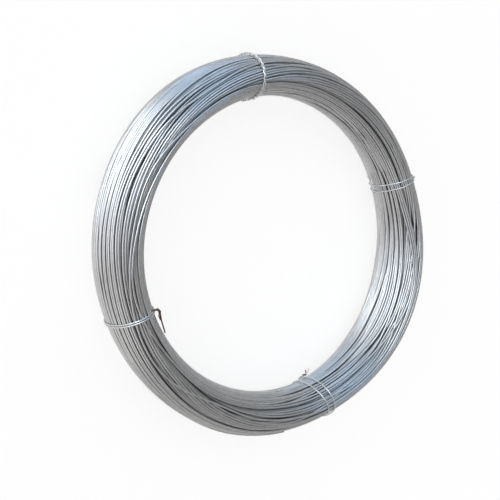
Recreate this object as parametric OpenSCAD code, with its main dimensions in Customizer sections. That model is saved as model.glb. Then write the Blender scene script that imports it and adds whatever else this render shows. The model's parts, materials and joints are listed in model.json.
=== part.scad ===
// Coil of galvanized iron wire, lying on its side with its axis upright.
// The wound wire is one turned ring whose turns show as round crests all over
// its section. Four tie wires hold it. Each tie is one wire wound twice round
// the bundle, and its two ends are twisted together at the bore.

/* [Coil] */
// Radius of the ring, from the coil's axis to the middle of the bundle
ring_r = 210; // [150:1:300]
// Thickness of the bundle, from the bore to the rim
bundle_t = 51; // [40:1:80]
// Width of the bundle along the coil's axis
bundle_w = 74; // [60:1:110]
// Diameter of the wound wire
wire_d = 2.8; // [2:0.1:5]
// How far the lowest turns sit back from the highest, as a share of the wire
turn_sink = 0.12; // [0:0.01:0.15]

/* [Ties] */
// Diameter of the tie wire
tie_d = 1.6; // [1:0.1:2.5]
// Gap between a tie and the crests of the turns under it
tie_seat = 0.2; // [0.05:0.05:0.3]
// Pitch of the twist where two ends are twisted together
twist_pitch = 7; // [5:0.5:12]
// Free space between two strands of a twist
twist_gap = 0.2; // [0.1:0.05:0.4]

/* [Left tie] */
// Its place round the coil, in degrees from +X
left_at = 193; // [185:1:205]
// Spacing of its two strands, which are laid up like a rope
left_lay = 2.3; // [1.8:0.1:5]

/* [Back tie] */
// Its place round the coil, in degrees from +X
back_at = 114.5; // [105:0.1:125]
// Spacing of its two strands at the bore
back_lay = 8.4; // [2:0.1:14]
// Spacing of its two strands at the rim
back_rim = 5; // [2:0.1:14]

/* [Right tie] */
// Its place round the coil, in degrees from +X
right_at = 19.7; // [8:0.1:28]
// Spacing of its two strands at the bore
right_lay = 13; // [2:0.1:16]
// Spacing of its two strands at the rim
right_rim = 8.5; // [2:0.1:16]
// How far its rim side sits ahead of its bore side along the ring
right_slant = 7.5; // [0:0.5:12]

/* [Front tie] */
// Its place round the coil, in degrees from +X
front_at = 292.5; // [284:0.1:304]
// Spacing of its two strands
front_lay = 2.4; // [1.8:0.1:6]

/* [Hidden] */

zinc = "lightsteelblue";
tie_zinc = "silver";

// The section is an ellipse. The turns' centres lie on a smaller one, and
// each turn overlaps the next by a little, so the crests close into one skin.
half_t = bundle_t / 2;
half_w = bundle_w / 2;
turn_t = half_t - wire_d / 2;
turn_w = half_w - wire_d / 2;
nest = 0.95;
golden = 137.508;
step_count = 720;

// The coil lies on the undersides of its ties.
mid_z = half_w + tie_seat + tie_d;

// A tie's wire has 8 sides, and each of its passes has this many steps.
tie_sides = 8;
pass_steps = 54;
rope_steps = 92;
steps_per_twist = 12;
bend_steps = 8;

// The left tie's strands turn about each other this many times, over this
// stretch of the section past the knot. They lie flat under the coil.
left_turns = 8;
rope_from = 105;
rope_span = 235;
// Where the strands of the back and the right tie cross, in degrees of the
// section past the knot, and how many degrees a crossing takes to each side
back_cross = 220;
right_cross = 190;
cross_span = 24;
// The knot takes this many degrees of the section to each side.
knot_reach = 11;
// The twist starts this high over the strand that passes under it, and leans
// over in a bend of this radius.
knot_rise = tie_d + 0.9;
knot_bend = 2.8;
// How far each end runs straight on before it bends, as a share of its reach
end_pull = 0.4;
tip_pull = 0.5;

function sum_to(v) = [for (i = 0, s = 0; i < len(v); s = s + v[i], i = i + 1) s];

// Lengths of the turn ellipse's small steps, and its running length
step_len = [for (i = [0:step_count])
    let (a = 360 * i / step_count, d = 360 / step_count)
    norm([turn_t * (cos(a + d) - cos(a)), turn_w * (sin(a + d) - sin(a))])];
run_len = sum_to(step_len);
turn_loop = run_len[step_count];
turn_count = ceil(turn_loop / (wire_d * nest));
angle_at = [for (i = [0:step_count]) [run_len[i], 360 * i / step_count]];

function turn_angle(i) = lookup(turn_loop * (i % turn_count) / turn_count, angle_at);
function turn_back(i) =
    i % turn_count == 0 ? 0 : turn_sink * wire_d * (0.5 - 0.5 * cos(golden * i));

// Centre of a turn in the section, counted from the rim
function turn_centre(i) =
    let (a = turn_angle(i), back = turn_back(i % turn_count))
    [(turn_t - back) * cos(a), (turn_w - back) * sin(a)];
function turn_facing(i) = let (a = turn_angle(i)) atan2(sin(a) / turn_w, cos(a) / turn_t);

// A turn shows as a crest with a flat this many degrees to each side of its top,
// and meets the next in a valley, where the two round wires cut each other.
crest_flat = 24;
function crest(i, side) =
    let (a = turn_facing(i) + side * crest_flat)
    turn_centre(i) + wire_d / 2 * [cos(a), sin(a)];
function valley(i) =
    let (
        a = turn_centre(i),
        b = turn_centre(i + 1),
        half_gap = norm(b - a) / 2,
        way = [b[1] - a[1], a[0] - b[0]] / norm(b - a)
    )
    (a + b) / 2 + sqrt(wire_d * wire_d / 4 - half_gap * half_gap) * way;

module coil_section() {
    polygon([for (i = [0:turn_count - 1]) each [crest(i, -1), crest(i, 1), valley(i)]]);
}

module wire_coil() {
    color(zinc)
        translate([0, 0, mid_z])
            rotate_extrude($fn = 180)
                translate([ring_r, 0])
                    coil_section();
}

// ---- Ties ----
// A place on a tie is (at, phi, h, s): at is the tie's place round the coil,
// phi goes round the section from the rim over the top, h is the height of
// the strand above its seat, and s the distance sideways along the ring.

function unit(v) = v / norm(v);
function ramp(x) = let (c = min(max(x, 0), 1)) c * c * (3 - 2 * c);
function out_r(phi) = unit([cos(phi) / half_t, sin(phi) / half_w]);
function ring_out(at) = [cos(at), sin(at), 0];
function ring_along(at) = [-sin(at), cos(at), 0];
function lift_dir(at, phi) = let (n = out_r(phi)) n[0] * ring_out(at) + [0, 0, n[1]];
function pass_dir(at, phi) =
    let (n = out_r(phi)) -n[1] * ring_out(at) + [0, 0, n[0]];

function place(at, phi, h, s) =
    let (
        off = tie_d / 2 + tie_seat + h,
        n = out_r(phi),
        rho = ring_r + half_t * cos(phi) + off * n[0],
        turned = at + s / rho * 180 / PI
    )
    rho * ring_out(turned) + [0, 0, mid_z + half_w * sin(phi) + off * n[1]];

// Two strands side by side, turned about each other by psi: the lower stays
// on its seat while the other rides over it.
strand_gap = tie_d + twist_gap;
function side_of(k, lay, psi) = k * lay / 2 * cos(psi);
function over_of(k, psi) = strand_gap / 2 * (abs(sin(psi)) + k * sin(psi));

function bezier(a, b, c, d, t) =
    let (s = 1 - t) s * s * s * a + 3 * s * s * t * b + 3 * s * t * t * c + t * t * t * d;
function reversed(v) = [for (i = [len(v) - 1:-1:0]) v[i]];

// A tie is [place, lays, knot, tips]:
// lays: spacing at the rim, at the bore, rope turns, where the strands cross,
// and how far the rim side sits ahead of the bore side along the ring
// knot: place on the section, lean, and number of twists
// tips: where each end goes from the knot: out, along the ring, round the section
function at_of(t) = t[0];
function rim_lay(t) = t[1][0];
function bore_lay(t) = t[1][1];
function rope_turns(t) = t[1][2];
function cross_at(t) = t[1][3];
function slant_of(t) = t[1][4];
function knot_phi(t) = t[2][0];
function knot_tilt(t) = t[2][1];
function knot_twists(t) = t[2][2];
function tip_of(t, k) = k > 0 ? t[3][0] : t[3][1];

function lay_of(t, phi) = rim_lay(t) + (bore_lay(t) - rim_lay(t)) * (0.5 - 0.5 * cos(phi));
function psi_of(t, phi) =
    let (
        done = phi - knot_phi(t),
        laid = min(max(done - rope_from, 0), rope_span) / rope_span,
        crossed = cross_at(t) == 0 ? 0 : ramp((done - cross_at(t) + cross_span) / (2 * cross_span))
    )
    360 * rope_turns(t) * laid + 180 * crossed;

// Place of strand k of a tie, where phi runs on from the knot to the knot
function side_at(t, k, phi) =
    side_of(k, lay_of(t, phi), psi_of(t, phi)) + slant_of(t) / 2 * cos(phi);
function strand(t, k, phi) =
    place(at_of(t), phi, over_of(k, psi_of(t, phi)), side_at(t, k, phi));

// The first pass ends where the second begins, under the knot.
function under_knot(t, x) =
    let (
        phi = knot_phi(t) + knot_reach * (2 * x - 1),
        from = side_at(t, 1, knot_phi(t) + 360 - knot_reach),
        to = side_at(t, -1, knot_phi(t) + knot_reach)
    )
    place(at_of(t), phi, 0, from + (to - from) * ramp(x));

// The knot: its axis rises from the bundle and leans over along the ring,
// and the two ends go round it as a double helix.
function knot_side(t) =
    (side_at(t, 1, knot_phi(t) + knot_reach) + side_at(t, -1, knot_phi(t) + 360 - knot_reach)) / 2;
function knot_frame(t) =
    let (turned = at_of(t) + knot_side(t) / ring_r * 180 / PI)
    [lift_dir(turned, knot_phi(t)), ring_along(turned), pass_dir(turned, knot_phi(t))];
function knot_base(t) = place(at_of(t), knot_phi(t), knot_rise, knot_side(t));
function knot_run(t, x) = x * knot_twists(t) * twist_pitch;
function knot_arc(t) = knot_bend * abs(knot_tilt(t)) * PI / 180;
function knot_lean(t, x) = knot_tilt(t) * min(knot_run(t, x) / knot_arc(t), 1);
function knot_axis(t, x) =
    let (
        f = knot_frame(t),
        lean = knot_lean(t, x),
        bend_r = knot_bend * sign(knot_tilt(t)),
        straight = max(knot_run(t, x) - knot_arc(t), 0)
    )
    knot_base(t)
        + (bend_r * sin(lean) + straight * cos(lean)) * f[0]
        + (bend_r * (1 - cos(lean)) + straight * sin(lean)) * f[1];
function knot_spoke(t, k, x) =
    let (f = knot_frame(t), lean = knot_lean(t, x), w = -360 * knot_twists(t) * x)
    k * strand_gap / 2 * (cos(w) * f[2] + sin(w) * (cos(lean) * f[1] - sin(lean) * f[0]));
function knot_strand(t, k, x) = knot_axis(t, x) + knot_spoke(t, k, x);
function knot_heading(t, k, x) =
    unit(knot_strand(t, k, min(x + 0.02, 1)) - knot_strand(t, k, min(x, 0.98)));

// One end of the tie, from its lane on the bundle up into the knot and out
function tie_end(t, k) =
    let (
        phi = k > 0 ? knot_phi(t) + knot_reach : knot_phi(t) + 360 - knot_reach,
        a = strand(t, k, phi),
        a_way = -k * pass_dir(at_of(t), phi),
        b = knot_strand(t, k, 0),
        b_way = knot_heading(t, k, 0),
        c = knot_strand(t, k, 1),
        c_way = knot_heading(t, k, 1),
        f = knot_frame(t),
        tip = tip_of(t, k),
        reach = norm(tip),
        d = c + tip[0] * f[0] + tip[1] * f[1] + tip[2] * f[2],
        d_way = unit(d - c),
        pull = end_pull * norm(b - a),
        steps = ceil(knot_twists(t) * steps_per_twist)
    )
    concat(
        [for (i = [1:bend_steps - 1])
            bezier(a, a + pull * a_way, b - pull * b_way, b, i / bend_steps)],
        [for (i = [0:steps]) knot_strand(t, k, i / steps)],
        [for (i = [1:bend_steps])
            bezier(c, c + tip_pull * reach * c_way, d - tip_pull * reach * d_way, d, i / bend_steps)]
    );

function pass(t, k, steps) =
    [for (i = [0:steps])
        strand(t, k, knot_phi(t) + knot_reach + (360 - 2 * knot_reach) * i / steps)];

function tie_path(t, steps) =
    concat(
        reversed(tie_end(t, 1)),
        pass(t, 1, steps),
        [for (i = [1:2 * bend_steps - 1]) under_knot(t, i / (2 * bend_steps))],
        pass(t, -1, steps),
        tie_end(t, -1)
    );

// A round wire swept along a path, as one closed skin of triangles
function heading(path, i) =
    let (last = len(path) - 1) unit(path[min(i + 1, last)] - path[max(i - 1, 0)]);
function square_to(u, h) = unit(u - (u * h) * h);
function spokes(ways, first) =
    [for (i = 0, u = square_to(first, ways[0]);
        i < len(ways);
        u = square_to(u, ways[min(i + 1, len(ways) - 1)]), i = i + 1) u];

module wire_along(path, d, sides, first) {
    ways = [for (i = [0:len(path) - 1]) heading(path, i)];
    ups = spokes(ways, first);
    points = [for (i = [0:len(path) - 1], j = [0:sides - 1])
        let (a = 360 * j / sides, v = cross(ways[i], ups[i]))
        path[i] + d / 2 * (cos(a) * ups[i] + sin(a) * v)];
    last = sides * (len(path) - 1);
    skin = [for (i = [0:len(path) - 2], j = [0:sides - 1], half = [0, 1])
        let (
            a = i * sides + j,
            b = i * sides + (j + 1) % sides
        )
        half == 0 ? [a, a + sides, b + sides] : [a, b + sides, b]];
    start_cap = [for (j = [1:sides - 2]) [0, j, j + 1]];
    end_cap = [for (j = [1:sides - 2]) [last, last + j + 1, last + j]];
    polyhedron(points = points, faces = concat(skin, start_cap, end_cap), convexity = 10);
}

module tie(t, steps = pass_steps) {
    color(tie_zinc)
        wire_along(tie_path(t, steps), tie_d, tie_sides, ring_along(at_of(t)));
}

// The strands are laid up like a rope, and the knot hides under the bundle.
left_tie = [
    left_at,
    [left_lay, left_lay, left_turns, 0, 0],
    [212, -92, 2.25],
    [[1, -5, -3], [2, -6, 3]]
];
module tie_left() {
    tie(left_tie, rope_steps);
}

// The strands cross once by the rim, and the long knot lies along the bore.
back_tie = [
    back_at,
    [-back_rim, -back_lay, 0, back_cross, 0],
    [190, 94, 2.75],
    [[3, 6, 3], [0, 8, -2.5]]
];
module tie_back() {
    tie(back_tie);
}

// The strands cross at the rim, and both ends stand out from a short knot.
right_tie = [
    right_at,
    [-right_rim, -right_lay, 0, right_cross, right_slant],
    [188, 90, 1.75],
    [[5, 4, 3.5], [6, 6, -3]]
];
module tie_right() {
    tie(right_tie);
}

// The strands lie side by side, and one long end runs along the bore's edge.
front_tie = [
    front_at,
    [front_lay, front_lay, 0, 0, 0],
    [142, 104, 1.25],
    [[-1.8, 21, -2], [-0.5, 7, 3]]
];
module tie_front() {
    tie(front_tie);
}

wire_coil();
tie_left();
tie_back();
tie_right();
tie_front();
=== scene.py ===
# %% [markdown]
# # A coil of galvanized iron wire
# Fencing wire leaves the zinc bath, is wound on a drum and comes off it as a ring of some
# four hundred turns. Four short pieces of thinner wire hold the ring together.
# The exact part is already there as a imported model. This lesson gives it its looks: real
# wound turns in place of the plain ring, finer tie wires, a zinc finish, a floor and light.

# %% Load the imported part
import bmesh
import bpy
import json
import math
import numpy as np
from mathutils import Matrix, Vector


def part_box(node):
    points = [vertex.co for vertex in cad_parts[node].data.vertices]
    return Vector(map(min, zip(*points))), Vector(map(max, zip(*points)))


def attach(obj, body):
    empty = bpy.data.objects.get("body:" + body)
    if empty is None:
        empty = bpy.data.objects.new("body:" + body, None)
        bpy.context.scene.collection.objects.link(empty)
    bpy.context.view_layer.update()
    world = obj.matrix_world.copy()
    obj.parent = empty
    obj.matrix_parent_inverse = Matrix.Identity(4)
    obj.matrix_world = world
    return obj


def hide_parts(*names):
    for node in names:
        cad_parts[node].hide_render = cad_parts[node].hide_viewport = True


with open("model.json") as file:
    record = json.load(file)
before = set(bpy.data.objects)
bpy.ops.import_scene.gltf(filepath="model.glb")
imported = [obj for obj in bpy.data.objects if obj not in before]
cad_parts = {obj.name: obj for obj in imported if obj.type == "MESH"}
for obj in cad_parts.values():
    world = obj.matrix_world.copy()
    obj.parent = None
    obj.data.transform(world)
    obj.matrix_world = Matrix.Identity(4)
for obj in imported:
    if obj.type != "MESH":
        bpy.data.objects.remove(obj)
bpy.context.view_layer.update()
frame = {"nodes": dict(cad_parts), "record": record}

# %% [markdown]
# ## The sizes
# The ring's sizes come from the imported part. The ring's box gives its rim and its width,
# and the row's eye gives the bore. The bundle's section is an ellipse between the two. Only
# the thicknesses of the two wires are given here, because no box shows them.

# %% The ring's own sizes, in metres
low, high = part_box("wire_coil")
rim_r = (high.x - low.x) / 2
eye = frame["record"]["mounts"][0]
bore_r = eye["dims"]["r_mm"] / 1000
ring_r = (rim_r + bore_r) / 2       # to the middle of the bundle
half_t = (rim_r - bore_r) / 2       # half the bundle's thickness, inwards or outwards
half_w = (high.z - low.z) / 2       # half its width, up or down
mid_z = (high.z + low.z) / 2
wire_d = 0.0028                     # the wound wire's thickness
tie_d = 0.0016                      # the tie wire's
centre = Vector((0, 0, mid_z))
print("ring radius", round(ring_r, 4), "section", round(2 * half_t, 4), "x", round(2 * half_w, 4))

# %% [markdown]
# ## The camera
# The coil lies flat, and the camera looks down on it from the front, turned so that the
# coil's left side is at the top of the view. Its direction and its right side are given,
# and its upward direction follows from them. It aims a little below and to the left of the
# coil's centre.

# %% Place the camera
toward = Vector((-0.0505, -0.5408, 0.8397)).normalized()     # from coil to camera
rightward = Vector((-0.0325, 0.8412, 0.5398))
rightward = (rightward - rightward.dot(toward) * toward).normalized()
upward = toward.cross(rightward)
camera_reach = 5.0 * ring_r
camera_lens = 60.5
aim_left, aim_down = 0.1405, 0.029      # in ring radii
aim = centre - ring_r * (aim_left * rightward + aim_down * upward)
camera_data = bpy.data.cameras.new("camera")
camera_data.lens = camera_lens
camera = bpy.data.objects.new("camera", camera_data)
turned = Matrix((rightward, upward, toward)).transposed().to_4x4()
camera.matrix_world = Matrix.Translation(aim + camera_reach * toward) @ turned
bpy.context.scene.collection.objects.link(camera)
bpy.context.scene.camera = camera
print("camera at", [round(c, 2) for c in camera.location])

# %% [markdown]
# ## How the bundle swells between its ties
# A wound bundle is never quite even. It is slack and fat along its free stretches and thin
# where a tie was drawn tight. Each list has one number for every 15 degrees of the ring,
# from its back round by its left side. Below, the bundle can't swell past the floor.

# %% The section's size round the ring
stations = 144                      # places along each turn where its path is known
at_back = math.radians(90)          # where both lists begin, counted from +X
smooth_waves = 8                    # the finest wave that a list may bring, round the ring
floor_gap = 0.0002
wire_start = math.radians(7)        # both ends of the wound wire are near here
around = wire_start + 2 * np.pi * np.arange(stations) / stations
fullness = [1.03, 0.95, 0.92, 0.90, 0.91, 0.92, 0.95, 1.01, 1.12, 1.15, 1.13, 1.09,
            1.05, 1.02, 1.00, 1.00, 1.02, 1.05, 1.01, 0.99, 0.98, 1.05, 1.10, 1.08]
outward_mm = [1.0, 0.6, 0.2, 1.2, 0.6, -0.3, -0.5, -1.2, -1.4, -1.0, -0.9, -0.4,
              0.3, 0.4, 0.0, 0.0, 0.0, 0.5, 0.5, 0.2, 1.0, 1.8, 2.4, 2.2]


def round_the_ring(values, places):
    """Reads one of the lists at places round the ring, as a smooth closed curve."""
    waves = np.fft.rfft(values) / len(values)
    turned = (places - at_back) % (2 * np.pi)
    total = np.full(np.shape(places), waves[0].real)
    for k in range(1, smooth_waves + 1):
        total += 2 * (waves[k] * np.exp(1j * k * turned)).real
    return total


swell = round_the_ring(fullness, around)
drift = round_the_ring(outward_mm, around) / 1000
floor_room = (mid_z - floor_gap) / half_w
half_t_at = half_t * swell
half_top_at = half_w * swell
half_low_at = half_w * np.minimum(swell, floor_room)
print("section swells from", round(swell.min(), 3), "to", round(swell.max(), 3))

# %% [markdown]
# ## Winding the turns
# All the turns are one wire: the end of each is the start of the next. It is wound here
# from the inside out, each turn a step further round the section. Eight turns in a row
# run side by side. Then the next group takes another lane and rides over the groups below.
# Where the coil came off the drum its wire shifts from side to side: on two stretches of
# the ring every group crosses the bundle at a slant, some more than others, so the groups
# fan out and cross there. On the stretches between them they run almost straight.
# The turns in the middle of the bundle are left out, because nobody can see them. As many
# turns pass the thin stretches as the fat ones, so the middle that is left out is smaller
# where the bundle is thin.

# %% The wound wire's numbers
turn_count = 228
core_share = 0.66           # the unseen middle, as a share of the section's size
section_room = swell * (half_top_at + half_low_at) / (2 * half_w)
core_at = np.sqrt(1 - (1 - core_share ** 2) / section_room)
group_turns = 8
blend_turns = 2             # turns that a new group takes to reach its own lane
spare_groups = 2            # before the first group and after the last
first_place = 0.70          # where the winding starts, as a share of the section's girth
lane_pitch = 1.10 * wire_d
slant_reach = 0.007         # how far the groups shift across, and how much that varies
slant_spread = 0.007
wander_reach = 0.003
wander_waves = ((1, 1.0), (2, 0.5))     # waves round the ring, and the strength of each
level_limit = 1.3           # no group's level is more extreme than this
level_blend = (0.41, 0.82, 0.41)        # how a group's level leans on its neighbours'
even_waves = 6              # how fine the evening out of the turns is, in waves a girth
dive_share = 0.03           # how far a group dives or rises, as a share of the section
slants = [(45, 140), (203, 282)]        # degrees round the ring from the back
fine_steps, girth_steps = 4001, 721     # of the two tables that lay_turns reads from
mean_girth = 2 * math.pi * math.hypot(half_t, half_w) / math.sqrt(2)
dice = np.random.default_rng(17)
wound = np.arange(turn_count)[:, None] + np.arange(stations) / stations
print("wire wound:", round(turn_count * 2 * math.pi * ring_r), "m in", turn_count, "turns")


# %% How the groups shift and wander
def ramp(x):
    """Rises smoothly from 0 to 1 as x does, and stays there beyond."""
    x = np.clip(x, 0, 1)
    return x * x * (3 - 2 * x)


def side_shift():
    """From -1 on one straight stretch to 1 on the other, by way of the two slants."""
    degrees = np.degrees(around - at_back) % 360
    there, back = [ramp((degrees - start) / (end - start)) for start, end in slants]
    return 2 * there - 2 * back - 1


def by_group(levels):
    """Gives each turn its group's level, and blends where a new group starts."""
    place = wound / group_turns + spare_groups
    group = np.floor(place).astype(int)
    share = np.clip((place - group - 0.5) * group_turns / blend_turns + 0.5, 0, 1)
    return levels[group] * (1 - share) + levels[group + 1] * share


def random_levels():
    """A level for each group. Groups next to each other have much the same."""
    groups = turn_count // group_turns + 2 * spare_groups + 1
    levels = np.clip(dice.standard_normal(groups), -level_limit, level_limit)
    return np.convolve(levels, level_blend, "same")


def wander():
    """Long waves round the ring, of which each group has its own."""
    total = np.zeros_like(wound)
    for waves, strength in wander_waves:
        for shape in (np.cos, np.sin):
            total += strength * by_group(random_levels()) * shape(waves * around)
    return total


def evened(share):
    """Moves turns towards equal numbers of them in every direction of the section.

    Neighbours move alike, so a group of turns side by side stays together.
    """
    within = share % 1.0
    order = np.argsort(within, axis=0)
    even = (np.arange(turn_count)[:, None] + 0.5) / turn_count
    step = np.fft.rfft(even - np.take_along_axis(within, order, 0), axis=0)
    step[even_waves + 1:] = 0
    step = np.fft.irfft(step, turn_count, axis=0)
    moved = np.empty_like(share)
    np.put_along_axis(moved, order, step, 0)
    return share + moved


print("the wire slants on", len(slants), "stretches of the ring")


# %% Lay the turns
def half_heights(height):
    """The section's half height at each station, above or below its middle."""
    return np.where(height >= 0, half_top_at, half_low_at)


def lay_turns():
    """Every turn's places in the section: its distance outwards and its height."""
    size = np.sqrt(core_at ** 2 + (1 - core_at ** 2) * (wound + 0.5) / (turn_count + 0.5))
    fine = np.linspace(0, turn_count, fine_steps)
    fine_size = np.sqrt(core_share ** 2 + (1 - core_share ** 2) * fine / turn_count)
    steps = lane_pitch * np.diff(fine) / (mean_girth * fine_size[1:])
    advance = np.concatenate([[0], np.cumsum(steps)])
    share = np.interp(wound, fine, advance) + first_place
    reach = slant_reach + slant_spread * by_group(random_levels())
    shift = reach * side_shift() + wander_reach * wander()
    share = evened(share + shift / (mean_girth * size))
    size = np.clip(size + dive_share * wander(), core_at, 1)
    turn = np.linspace(0, 2 * np.pi, girth_steps)
    steps = np.hypot(np.diff(half_t * np.cos(turn)), np.diff(half_w * np.sin(turn)))
    girth = np.concatenate([[0], np.cumsum(steps)])
    angle = np.interp(share % 1.0 * girth[-1], girth, turn)
    out = size * (half_t_at - wire_d / 2) * np.cos(angle)
    rise = size * (half_heights(np.sin(angle)) - wire_d / 2) * np.sin(angle)
    return np.stack([out, rise], -1)


turn_paths = lay_turns()
print("turns laid in", turn_count // group_turns, "groups")

# %% [markdown]
# ## Letting the turns settle
# As laid, many turns run through each other. So the bundle settles as a real one does.
# Turns that overlap push apart, and where two cross, the one wound later goes on top. Wire
# is stiff, so each push bends it over a hand's length. Groups keep a little further from
# each other than the turns inside a group, which leaves dark gaps between groups. The
# outside holds the bundle in, as the ties do, and the unseen turns hold it out.

# %% Tools for settling
bend_spread = 3             # how far a push bends the wire, in stations
bend_steps = np.arange(-3 * bend_spread, 3 * bend_spread + 1)
bend_shape = np.exp(-0.5 * (bend_steps / bend_spread) ** 2)
bend_shape /= bend_shape.sum()
ease_shape = np.array([0.25, 0.5, 0.25])
group_gap = 1.5             # room between groups side by side, in wire thicknesses
ride_over = 3.0             # how much a group would rather ride over another than part
near_room = 1.05            # turns closer than this, in wire thicknesses, also push a little
near_push = 0.15
push_strength = 1.2
hold_in, hold_out = 0.8, 0.5    # the share of the way back that each hold moves a turn
least_reach = 0.05          # keeps the very middle of the section out of divisions
tiny = 1e-9


def along_wire(table, shape):
    """Spreads values along the wire. The table read row by row follows the wire."""
    half = len(shape) // 2
    flat = table.reshape(-1, 2)
    padded = np.concatenate([flat[half:0:-1], flat, flat[-2:-half - 2:-1]])
    spread = [np.convolve(padded[:, k], shape, "valid") for k in (0, 1)]
    return np.stack(spread, -1).reshape(table.shape)


def near_pairs(paths, reach):
    """Every two turns that are near each other, as places in the flat list of points."""
    first, second = [], []
    for j in range(stations):
        here = paths[:, j]
        apart = ((here[:, None] - here[None]) ** 2).sum(-1)
        i, k = np.nonzero(np.triu(apart < reach ** 2, 1))
        first.append(i * stations + j)
        second.append(k * stations + j)
    return np.concatenate(first), np.concatenate(second)


def push_apart(paths, pairs):
    """Moves overlapping turns apart and returns how much each pair overlapped."""
    flat = paths.reshape(-1, 2)
    early, late = pairs
    away = flat[late] - flat[early]
    outward = (flat[early] + flat[late]) / np.array([half_t ** 2, half_w ** 2])
    outward /= np.maximum(np.linalg.norm(outward, axis=1, keepdims=True), tiny)
    above = (away * outward).sum(1)[:, None] * outward
    strangers = late // stations // group_turns != early // stations // group_turns
    room = np.where(strangers, group_gap, 1.0)[:, None]
    felt = above + (away - above) / room
    gap = np.hypot(*felt.T)
    overlap = np.maximum(wire_d - gap, 0)
    way = away + ride_over * (overlap * strangers)[:, None] * outward
    way /= np.maximum(np.linalg.norm(way, axis=1, keepdims=True), tiny)
    push = overlap + near_push * np.maximum(near_room * wire_d - np.maximum(gap, wire_d), 0)
    push = way * (push_strength * push)[:, None]
    moved = [np.bincount(late, push[:, k], len(flat)) - np.bincount(early, push[:, k], len(flat))
             for k in (0, 1)]
    paths += along_wire(np.stack(moved, -1).reshape(paths.shape), bend_shape)
    return np.maximum(wire_d - np.hypot(*away.T), 0)


def section_reach(paths):
    """How far out each point is: 1 is where the wire touches the outline."""
    out = paths[..., 0] / (half_t_at - wire_d / 2)
    rise = paths[..., 1] / (half_heights(paths[..., 1]) - wire_d / 2)
    return np.maximum(np.hypot(out, rise), least_reach)


def hold(paths):
    """Draws turns back inside the outline, and out of the unseen middle."""
    reach = section_reach(paths)
    scale = np.where(reach > 1, 1 + hold_in * (1 / reach - 1), 1)
    scale *= np.where(reach < core_at, 1 + hold_out * (core_at / reach - 1), 1)
    paths *= scale[..., None]


print("a push bends", round(len(bend_steps) * 2000 * math.pi * ring_r / stations), "mm of wire")

# %% Settle the turns
rounds = 180
pairs_every, ease_every = 12, 4         # rounds
last_eases = 2
pair_reach = 1.8 * wire_d
deep_overlap = 0.0008
for settling in range(rounds):
    if settling % pairs_every == 0:
        pairs = near_pairs(turn_paths, pair_reach)
    overlap = push_apart(turn_paths, pairs)
    hold(turn_paths)
    if settling % ease_every == 0:
        turn_paths = along_wire(turn_paths, ease_shape)
for _ in range(last_eases):
    turn_paths = along_wire(turn_paths, ease_shape)
deep = int((overlap > deep_overlap).sum())
print("turns overlap by more than 0.8 mm at", deep, "of", overlap.size, "places")

# %% [markdown]
# ## Filling the ties
# The outermost turns must reach the ties' inner side, so the settled bundle is stretched or
# drawn in by a hundredth or two, until its outline is the ring's own all the way round.

# %% Stretch the bundle to its outline
sectors = 36                # round the section
least_outline = 0.9
outline_blurs = 4


def fill_outline(paths):
    """Scales the turns to the outline and returns the outline that they had."""
    reach = section_reach(paths)
    angle = np.arctan2(paths[..., 1] / half_w, paths[..., 0] / half_t) % (2 * np.pi)
    place = angle / (2 * np.pi) * sectors
    outline = np.zeros((sectors, stations))
    column = np.broadcast_to(np.arange(stations), place.shape)
    np.maximum.at(outline, (place.astype(int) % sectors, column), reach)
    outline = np.maximum(outline, least_outline)
    for _ in range(outline_blurs):
        for axis in (0, 1):
            before, after = np.roll(outline, 1, axis), np.roll(outline, -1, axis)
            outline = 0.25 * before + 0.5 * outline + 0.25 * after
    below = np.floor(place - 0.5).astype(int)
    part = place - 0.5 - below
    found = outline[below % sectors, column] * (1 - part)
    found = found + outline[(below + 1) % sectors, column] * part
    paths /= found[..., None]
    return outline


outline = fill_outline(turn_paths)
hold(turn_paths)
turn_paths = along_wire(turn_paths, ease_shape)
print("outline was at", np.round(np.percentile(outline, [5, 50, 95]), 3), "of the section's size")

# %% [markdown]
# ## From paths to wire
# A turn is a round wire along a path, so a Geometry Nodes tree makes it: the path's mesh
# becomes a curve, and a circle is swept along it. Its wall is shaded smooth, and its cut
# ends stay flat. The same tree serves the tie wires, with another radius, more sides and
# more points between the given ones.

# %% Build the wire tree
def new_socket(tree, name, kind, value=None, out=False):
    side = "OUTPUT" if out else "INPUT"
    made = tree.interface.new_socket(name, in_out=side, socket_type=kind)
    if value is not None:
        made.default_value = value


most_wall_corners = 4       # a face with more corners than this is a cut end


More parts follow.
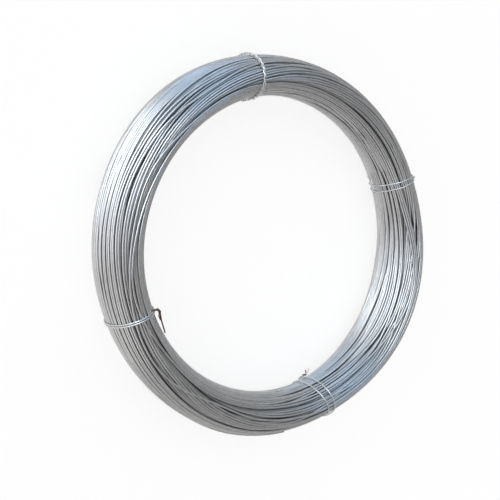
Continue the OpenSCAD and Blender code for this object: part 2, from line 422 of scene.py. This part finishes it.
def build_wire_tree():
    tree = bpy.data.node_groups.new("wire along a path", "GeometryNodeTree")
    new_socket(tree, "Path", "NodeSocketGeometry")
    new_socket(tree, "Radius", "NodeSocketFloat", wire_d / 2)
    new_socket(tree, "Sides", "NodeSocketInt", 8)
    new_socket(tree, "Points Between", "NodeSocketInt", 1)
    new_socket(tree, "Upright", "NodeSocketBool", True)
    new_socket(tree, "Material", "NodeSocketMaterial")
    new_socket(tree, "Wire", "NodeSocketGeometry", out=True)
    make, link = tree.nodes.new, tree.links.new
    given, result = make("NodeGroupInput"), make("NodeGroupOutput")
    to_curve = make("GeometryNodeMeshToCurve")
    link(given.outputs["Path"], to_curve.inputs["Mesh"])
    rounded = make("GeometryNodeCurveSplineType")
    rounded.spline_type = "CATMULL_ROM"
    link(to_curve.outputs["Curve"], rounded.inputs["Curve"])
    finer = make("GeometryNodeSetSplineResolution")
    link(rounded.outputs["Curve"], finer.inputs["Geometry"])
    link(given.outputs["Points Between"], finer.inputs["Resolution"])
    upright = make("GeometryNodeSetCurveNormal")
    upright.mode = "Z_UP"
    link(finer.outputs["Geometry"], upright.inputs["Curve"])
    link(given.outputs["Upright"], upright.inputs["Selection"])
    circle = make("GeometryNodeCurvePrimitiveCircle")
    link(given.outputs["Sides"], circle.inputs["Resolution"])
    link(given.outputs["Radius"], circle.inputs["Radius"])
    sweep = make("GeometryNodeCurveToMesh")
    sweep.inputs["Fill Caps"].default_value = True
    link(upright.outputs["Curve"], sweep.inputs["Curve"])
    link(circle.outputs["Curve"], sweep.inputs["Profile Curve"])
    corners = make("GeometryNodeInputMeshFaceNeighbors")
    wall = make("FunctionNodeCompare")
    wall.data_type, wall.operation = "INT", "LESS_EQUAL"
    link(corners.outputs["Vertex Count"], wall.inputs[2])
    wall.inputs[3].default_value = most_wall_corners
    smooth = make("GeometryNodeSetShadeSmooth")
    link(sweep.outputs["Mesh"], smooth.inputs["Geometry"])
    link(wall.outputs[0], smooth.inputs["Selection"])
    real = make("GeometryNodeRealizeInstances")
    link(smooth.outputs["Geometry"], real.inputs["Geometry"])
    finish = make("GeometryNodeSetMaterial")
    link(real.outputs["Geometry"], finish.inputs["Geometry"])
    link(given.outputs["Material"], finish.inputs["Material"])
    link(finish.outputs["Geometry"], result.inputs["Wire"])
    return tree


wire_tree = build_wire_tree()
print("the wire tree has", len(wire_tree.nodes), "nodes")


# %% Helpers that run the tree on a path
def path_object(name, points, marks):
    """A path as a mesh of edges. Each mark gives every point a number for its finish."""
    mesh = bpy.data.meshes.new(name)
    mesh.from_pydata(points.tolist(), [(i, i + 1) for i in range(len(points) - 1)], [])
    for mark, values in marks.items():
        mesh.attributes.new(mark, "FLOAT", "POINT").data.foreach_set("value", values)
    made = bpy.data.objects.new(name, mesh)
    bpy.context.scene.collection.objects.link(made)
    return made


def lengths_along(points):
    steps = np.linalg.norm(np.diff(points, axis=0), axis=1)
    return np.concatenate([[0], np.cumsum(steps)])


def sweep_wire(name, points, material, marks, start=0.0, **settings):
    """Runs the tree on a path. The settings are the tree's inputs, with _ for a space."""
    along = start + lengths_along(points)
    path = path_object(name + "_path", points, dict(marks, along=along))
    modifier = path.modifiers.new("wire", "NODES")
    modifier.node_group = wire_tree
    settings["Material"] = material
    for item in wire_tree.interface.items_tree:
        setting = item.name.replace(" ", "_")
        if item.in_out == "INPUT" and setting in settings:
            modifier[item.identifier] = settings[setting]
    depsgraph = bpy.context.evaluated_depsgraph_get()
    mesh = bpy.data.meshes.new_from_object(path.evaluated_get(depsgraph), depsgraph=depsgraph)
    path.modifiers.clear()
    bpy.data.objects.remove(path)
    mesh.name = name
    piece = bpy.data.objects.new(name, mesh)
    bpy.context.scene.collection.objects.link(piece)
    mesh.calc_loop_triangles()
    length = round(along[-1] - start, 2)
    print(name, "has", len(mesh.loop_triangles), "triangles and is", length, "m long")
    return piece


# %% [markdown]
# ## The zinc finish
# Hot-dip zinc on drawn wire is a satin metal. Its tone changes a little from one stretch of
# the wire to the next, it carries fine streaks from the wiping die, and it has small dull
# spots where the zinc has begun to weather. Wire that lies deeper in the bundle is painted
# darker, as painted shade between the turns. Where the ties were twisted and cut, their zinc
# cracked, and red rust grows there.
# Each path marks its points with their length along the wire, and with how deep or how rusty
# they are. One node group turns all this into a colour, a roughness, a share of bare metal
# and a height, and each wire finish places it with its own values.

# %% Build the zinc coat
class Shading:
    """Short calls for adding and joining shader nodes in one tree."""

    def __init__(self, tree):
        self.tree = tree

    def add(self, kind, values=None, **settings):
        node = self.tree.nodes.new(kind)
        for name, value in settings.items():
            setattr(node, name, value)
        for socket, value in (values or {}).items():
            if isinstance(value, bpy.types.NodeSocket):
                self.tree.links.new(value, node.inputs[socket])
            else:
                node.inputs[socket].default_value = value
        return node

    def sum(self, operation, *values):
        made = self.add("ShaderNodeMath", dict(enumerate(values)), operation=operation)
        return made.outputs[0]

    def blend(self, share, first, second):
        made = self.add("ShaderNodeMix", {0: share, 6: first, 7: second}, data_type="RGBA")
        return made.outputs[2]

    def spread(self, value, low, high, to_low, to_high):
        made = self.add("ShaderNodeMapRange",
                        {0: value, 1: low, 2: high, 3: to_low, 4: to_high})
        return made.outputs[0]

    def noise(self, place, scale, detail):
        made = self.add("ShaderNodeTexNoise",
                        {"Vector": place, "Scale": scale, "Detail": detail})
        return made.outputs[0]


streaks_across, streaks_along = 1400.0, 12.0    # in a metre
# The colour that deep wire is painted towards: painted shade between the turns.
painted_shade_zinc = (0.16, 0.155, 0.15, 1)
weathered_zinc = (0.32, 0.33, 0.33, 1)
dark_rust, light_rust = (0.075, 0.028, 0.018, 1), (0.21, 0.085, 0.045, 1)


def build_zinc_coat():
    tree = bpy.data.node_groups.new("zinc coat", "ShaderNodeTree")
    new_socket(tree, "Along", "NodeSocketFloat")
    new_socket(tree, "Bright Zinc", "NodeSocketColor", (0.7, 0.72, 0.75, 1))
    new_socket(tree, "Dull Zinc", "NodeSocketColor", (0.5, 0.52, 0.55, 1))
    new_socket(tree, "Sheen", "NodeSocketFloat", 0.3)
    new_socket(tree, "Spots", "NodeSocketFloat", 0.3)
    new_socket(tree, "Depth", "NodeSocketFloat")
    new_socket(tree, "Rust", "NodeSocketFloat")
    new_socket(tree, "Color", "NodeSocketColor", out=True)
    new_socket(tree, "Roughness", "NodeSocketFloat", out=True)
    new_socket(tree, "Metal", "NodeSocketFloat", out=True)
    new_socket(tree, "Height", "NodeSocketFloat", out=True)
    paint = Shading(tree)
    given = tree.nodes.new("NodeGroupInput").outputs
    result = tree.nodes.new("NodeGroupOutput").inputs
    where = paint.add("ShaderNodeTexCoord").outputs["Object"]
    split = paint.add("ShaderNodeSeparateXYZ", {0: where}).outputs
    flat = paint.add("ShaderNodeCombineXYZ", {0: split[0], 1: split[1]}).outputs[0]
    radius = paint.add("ShaderNodeVectorMath", {0: flat}, operation="LENGTH").outputs["Value"]

    stretch = paint.add("ShaderNodeTexNoise",
                        {"W": given["Along"], "Scale": 0.9, "Detail": 3.0},
                        noise_dimensions="1D").outputs[0]
    tone = paint.spread(stretch, 0.3, 0.7, 0.0, 1.0)
    across = paint.add("ShaderNodeCombineXYZ", {
        0: paint.sum("MULTIPLY", radius, streaks_across),
        1: paint.sum("MULTIPLY", split[2], streaks_across),
        2: paint.sum("MULTIPLY", given["Along"], streaks_along)}).outputs[0]
    streak = paint.noise(across, 1.0, 4.0)
    mottle = paint.noise(where, 160.0, 5.0)
    speck = paint.noise(where, 420.0, 2.0)
    spot = paint.spread(speck, 0.60, 0.70, 0.0, 1.0)
    spot = paint.sum("MULTIPLY", spot, given["Spots"])

    share = paint.sum("MULTIPLY", tone, 0.55)
    share = paint.sum("ADD", share, paint.spread(streak, 0.35, 0.65, 0.0, 0.25))
    share = paint.sum("ADD", share, paint.spread(mottle, 0.35, 0.65, 0.0, 0.2))
    metal = paint.blend(share, given["Dull Zinc"], given["Bright Zinc"])
    metal = paint.blend(spot, metal, weathered_zinc)
    # Deep wire is painted darker here, as painted shade between the turns.
    metal = paint.blend(paint.sum("MULTIPLY", given["Depth"], 0.8), metal, painted_shade_zinc)
    patches = paint.sum("ADD", paint.sum("MULTIPLY", given["Rust"], 1.6),
                        paint.sum("MULTIPLY", mottle, 1.2))
    rust = paint.spread(patches, 0.95, 1.25, 0.0, 1.0)
    browns = paint.blend(paint.spread(speck, 0.35, 0.65, 0.0, 1.0), dark_rust, light_rust)
    tree.links.new(paint.blend(rust, metal, browns), result["Color"])
    tree.links.new(paint.sum("SUBTRACT", 1.0, rust), result["Metal"])

    rough = paint.sum("ADD", given["Sheen"], paint.spread(streak, 0.3, 0.7, -0.06, 0.08))
    rough = paint.sum("ADD", rough, paint.spread(tone, 0.0, 1.0, 0.05, -0.03))
    rough = paint.sum("ADD", rough, paint.sum("MULTIPLY", spot, 0.3))
    rough = paint.sum("ADD", rough, paint.sum("MULTIPLY", rust, 0.5))
    tree.links.new(rough, result["Roughness"])
    height = paint.sum("ADD", paint.sum("MULTIPLY", streak, 0.6),
                       paint.sum("MULTIPLY", mottle, 0.4))
    tree.links.new(height, result["Height"])
    return tree


zinc_coat = build_zinc_coat()
print("the zinc coat has", len(zinc_coat.nodes), "nodes")


# %% Make the wire finishes
def wire_finish(name, bright, dull, sheen, spots):
    material = bpy.data.materials.new(name)
    material.use_nodes = True
    tree = material.node_tree
    paint = Shading(tree)
    shader = tree.nodes["Principled BSDF"]
    coat = paint.add("ShaderNodeGroup", node_tree=zinc_coat)
    values = {"Bright Zinc": (*bright, 1), "Dull Zinc": (*dull, 1),
              "Sheen": sheen, "Spots": spots}
    for socket, value in values.items():
        coat.inputs[socket].default_value = value
    for mark in ("along", "depth", "rust"):
        value = paint.add("ShaderNodeAttribute", attribute_name=mark).outputs["Fac"]
        tree.links.new(value, coat.inputs[mark.title()])
    bump = paint.add("ShaderNodeBump", {"Strength": 0.15, "Distance": 0.0001,
                                        "Height": coat.outputs["Height"]})
    tree.links.new(coat.outputs["Color"], shader.inputs["Base Color"])
    tree.links.new(coat.outputs["Roughness"], shader.inputs["Roughness"])
    tree.links.new(coat.outputs["Metal"], shader.inputs["Metallic"])
    tree.links.new(bump.outputs[0], shader.inputs["Normal"])
    return material


zinc = wire_finish("zinc", (0.72, 0.715, 0.71), (0.48, 0.475, 0.47), 0.30, 0.3)
tie_zinc = wire_finish("thin zinc", (0.80, 0.80, 0.79), (0.60, 0.60, 0.59), 0.45, 0.2)
print("two zinc finishes made")

# %% [markdown]
# ## The wound turns
# The wire is swept in four pieces, from the inside out, so that none is too heavy. Each
# piece ends where the next begins. The last of the wire has sprung off the bundle and up
# across its neighbours, so its cut end stands proud at the rim.

# %% Sweep the turns
sprung_out, sprung_up = 0.0015, 0.0092      # how far the cut end has moved
sprung_stations = 15
# Wire is painted darker, as painted shade, from the first depth on, and fully so the second depth
# further in.
shade_from, shade_range = 0.2, 1.1            # depths in wire thicknesses
piece_names = ["turns_inner", "turns_lower", "turns_upper", "turns_outer"]
piece_turns = turn_count // len(piece_names)


def in_the_ring(paths):
    """The points of the ring that the places in its section stand for."""
    r = ring_r + drift + paths[..., 0]
    return np.stack([r * np.cos(around), r * np.sin(around), mid_z + paths[..., 1]], -1)


def wires_above(paths):
    """How deep each point lies under the bundle's outside, in wire thicknesses."""
    return np.linalg.norm(paths, axis=-1) * (1 / section_reach(paths) - 1) / wire_d


sprung = (np.arange(stations) + 1 - stations) / sprung_stations + 1
turn_paths[-1] += np.stack([sprung_out * ramp(2 * sprung), sprung_up * ramp(sprung)], -1)
wire_points = in_the_ring(turn_paths).reshape(-1, 3)
# How far each point is painted towards the painted shade of deep wire.
deep_shade = np.clip((wires_above(turn_paths) - shade_from) / shade_range, 0, 1).reshape(-1)
end_out, end_up = turn_paths[-1, -1]
print("the wire ends", round(math.degrees(math.atan2(end_up, end_out))), "degrees above the rim")


def sweep_turns(name, first_turn):
    first = first_turn * stations
    part = slice(first, first + piece_turns * stations + 1)
    piece = sweep_wire(name, wire_points[part], zinc, {"depth": deep_shade[part]},
                       start=first_turn * 2 * math.pi * ring_r)
    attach(piece, "root")
    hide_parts("wire_coil")


for k, name in enumerate(piece_names):
    sweep_turns(name, k * piece_turns)

# %% [markdown]
# ## The turns inside
# In the middle of the bundle lie more turns that nobody can see. A closed ring fills
# their place, so that no light comes through the gaps. It is painted as the deepest wire,
# in the darkest painted shade.

# %% Fill the middle of the bundle
def fill_middle(sides):
    turn = 2 * np.pi * np.arange(sides) / sides
    out = np.outer(np.cos(turn), core_at * half_t_at)
    rise = np.sin(turn)[:, None]
    rise = core_at * rise * half_heights(rise)
    points = in_the_ring(np.stack([out, rise], -1)).reshape(-1, 3)
    quads = []
    for i in range(sides):
        for j in range(stations):
            next_i, next_j = (i + 1) % sides, (j + 1) % stations
            quads.append((i * stations + j, i * stations + next_j,
                          next_i * stations + next_j, next_i * stations + j))
    mesh = bpy.data.meshes.new("turns_inside")
    mesh.from_pydata(points.tolist(), [], quads)
    mesh.shade_smooth()
    # The ring counts as the deepest wire, so it carries the darkest painted shade.
    depth = mesh.attributes.new("depth", "FLOAT", "POINT")
    depth.data.foreach_set("value", np.ones(len(points)))
    mesh.materials.append(zinc)
    piece = bpy.data.objects.new("turns_inside", mesh)
    bpy.context.scene.collection.objects.link(piece)
    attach(piece, "root")
    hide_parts("wire_coil")
    return piece


inside = fill_middle(48)
print("the ring inside has", len(inside.data.polygons), "faces")

# %% [markdown]
# ## The tie wires
# Each tie is already modelled exactly: wound twice, twisted and bent out. But its solid has
# eight flat sides, and the bundle's real size at the tie differs a little from the ring's.
# So the tie's centre line is read back from the solid, ring of points by ring of points. It
# moves in or out with the bundle, and a rounder wire is swept along it.

# %% Find a wire's flat end
tie_sides = 8               # of the solid
same_plane = 0.9995         # the cosine between two faces of one flat patch
end_error = 0.02 * tie_d    # how far an end's corners may lie off its circle
weld = 1e-6


def flat_patch(face):
    """The corners of the flat patch that a face belongs to."""
    patch, fresh = {face}, [face]
    while fresh:
        for edge in fresh.pop().edges:
            for near in edge.link_faces:
                if near not in patch and near.normal.dot(face.normal) > same_plane:
                    patch.add(near)
                    fresh.append(near)
    return {corner for part in patch for corner in part.verts}


def is_wire_end(corners):
    """True if the corners are a cut end's: as many as the sides, on the wire's circle."""
    places = np.array([corner.co for corner in corners])
    away = np.linalg.norm(places - places.mean(0), axis=1)
    return len(corners) == tie_sides and abs(away - tie_d / 2).max() < end_error


print("a tie's end has", tie_sides, "corners")


# %% Walk along the wire from its end
def centre_line(node):
    """The middles of a tie's rings of corners, one after another from its first end."""
    skin = bmesh.new()
    skin.from_mesh(frame["nodes"][node].data)
    bmesh.ops.remove_doubles(skin, verts=skin.verts, dist=weld)
    skin.normal_update()
    ring = next(corners for corners in map(flat_patch, skin.faces) if is_wire_end(corners))
    seen, line = set(), []
    while ring:
        line.append(np.mean([corner.co for corner in ring], axis=0))
        seen |= ring
        ring = {edge.other_vert(corner) for corner in ring for edge in corner.link_edges} - seen
    skin.free()
    return np.array(line)


def with_the_bundle(line):
    """Moves a tie's points in or out to where the bundle's outside really is."""
    angle = np.arctan2(line[:, 1], line[:, 0])
    out, rise = np.hypot(line[:, 0], line[:, 1]) - ring_r, line[:, 2] - mid_z
    size = round_the_ring(fullness, angle)
    size = np.where(rise < 0, np.minimum(size, 1), size)
    grow = 1 + (size - 1) / np.hypot(out / half_t, rise / half_w)
    r = ring_r + round_the_ring(outward_mm, angle) / 1000 + grow * out
    return np.stack([r * np.cos(angle), r * np.sin(angle), mid_z + grow * rise], -1)


print("the left tie is read as", len(centre_line("tie_left")), "points")

# %% Sweep the tie wires
rust_fade = 0.008
# For each tie: the rusty length at the first end and at the last, in metres.
tie_rust = {"tie_right": (0.016, 0.0), "tie_back": (0.0, 0.0),
            "tie_left": (0.0, 0.0), "tie_front": (0.034, 0.030)}


def sweep_tie(node, rusty_start, rusty_finish):
    line = with_the_bundle(centre_line(node))
    along = lengths_along(line)
    rust = np.maximum(np.clip((rusty_start - along) / rust_fade, 0, 1),
                      np.clip((rusty_finish - along[-1] + along) / rust_fade, 0, 1))
    piece = sweep_wire(node + "_wire", line, tie_zinc, {"rust": rust},
                       Radius=tie_d / 2, Sides=12, Upright=False, Points_Between=3)
    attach(piece, "root")
    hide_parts(node)


for node, rusty in tie_rust.items():
    sweep_tie(node, *rusty)

# %% [markdown]
# ## Floor, backdrop and light
# The floor is plain and white. It glows too, but only the camera and the zinc's reflections
# see that, so the picture shows it white and the coil's shadow stays on it. The room lights
# the floor and the coil from above. The camera sees the room as plain white, and the zinc
# sees it dimmer, which keeps the metal's tones. The softboxes only put their long highlights
# on the zinc, so that the floor's shadow stays soft.

# %% Make the floor
floor_half = 8.0
floor_colour = (0.8, 0.8, 0.8, 1)
glow_seen, glow_mirrored = 0.675, 0.54      # for the camera and for reflections


def make_floor():
    mesh = bpy.data.meshes.new("floor")
    h = floor_half
    mesh.from_pydata([(-h, -h, 0), (h, -h, 0), (h, h, 0), (-h, h, 0)], [], [(0, 1, 2, 3)])
    floor = bpy.data.objects.new("floor", mesh)
    bpy.context.scene.collection.objects.link(floor)
    material = bpy.data.materials.new("white floor")
    material.use_nodes = True
    tree = material.node_tree
    tree.nodes.clear()
    paint = Shading(tree)
    matt = paint.add("ShaderNodeBsdfDiffuse", {"Color": floor_colour})
    ray = paint.add("ShaderNodeLightPath").outputs
    strength = paint.sum("MAXIMUM", paint.sum("MULTIPLY", ray["Is Camera Ray"], glow_seen),
                         paint.sum("MULTIPLY", ray["Is Glossy Ray"], glow_mirrored))
    glow = paint.add("ShaderNodeEmission", {"Strength": strength})
    both = paint.add("ShaderNodeAddShader", {0: matt.outputs[0], 1: glow.outputs[0]})
    paint.add("ShaderNodeOutputMaterial", {"Surface": both.outputs[0]})
    mesh.materials.append(material)


make_floor()
print("the floor is", 2 * floor_half, "m across")


# %% Hang the lamps
lamp_reach = 1.8            # from the coil's centre


def softbox(name, azimuth, elevation, size, power, colour):
    """A round lamp that faces the coil. Azimuth counts from +X, elevation from the floor."""
    light = bpy.data.lights.new(name, "AREA")
    light.shape = "DISK"
    light.size = size
    light.energy = power
    light.color = colour
    lamp = bpy.data.objects.new(name, light)
    a, e = math.radians(azimuth), math.radians(elevation)
    way = Vector((math.cos(e) * math.cos(a), math.cos(e) * math.sin(a), math.sin(e)))
    lamp.location = centre + lamp_reach * way
    lamp.rotation_euler = way.to_track_quat("Z", "Y").to_euler()
    lamp.visible_diffuse = False
    bpy.context.scene.collection.objects.link(lamp)


softbox("key softbox", 233, 35, 1.4, 26, (0.79, 0.90, 1.0))
softbox("cool softbox", 170, 45, 1.4, 9.2, (0.30, 0.61, 1.0))
softbox("low softbox", 270, 18, 0.8, 4, (0.88, 0.90, 1.0))
softbox("fill softbox", 307, 14, 1.4, 4.6, (1.0, 0.97, 0.95))
print("four softboxes hung")

# %% Light the room
dim_below, bright_above = 0.02, 0.35        # heights in the room: 0 level, 1 overhead
dim, bright = 0.105, 0.41
world = bpy.data.worlds.new("studio")
bpy.context.scene.world = world
world.use_nodes = True
tree = world.node_tree
tree.nodes.clear()
paint = Shading(tree)
way = paint.add("ShaderNodeTexCoord").outputs["Generated"]
up = paint.add("ShaderNodeSeparateXYZ", {0: way}).outputs[2]
level = paint.spread(up, dim_below, bright_above, dim, bright)
seen = paint.add("ShaderNodeLightPath").outputs["Is Camera Ray"]
sky = paint.add("ShaderNodeBackground",
                {"Color": (1, 1, 1, 1), "Strength": paint.sum("MAXIMUM", level, seen)})
paint.add("ShaderNodeOutputWorld", {"Surface": sky.outputs[0]})
bpy.context.scene.view_settings.view_transform = "Standard"
print("the room is", dim, "bright at the horizon and", bright, "above")
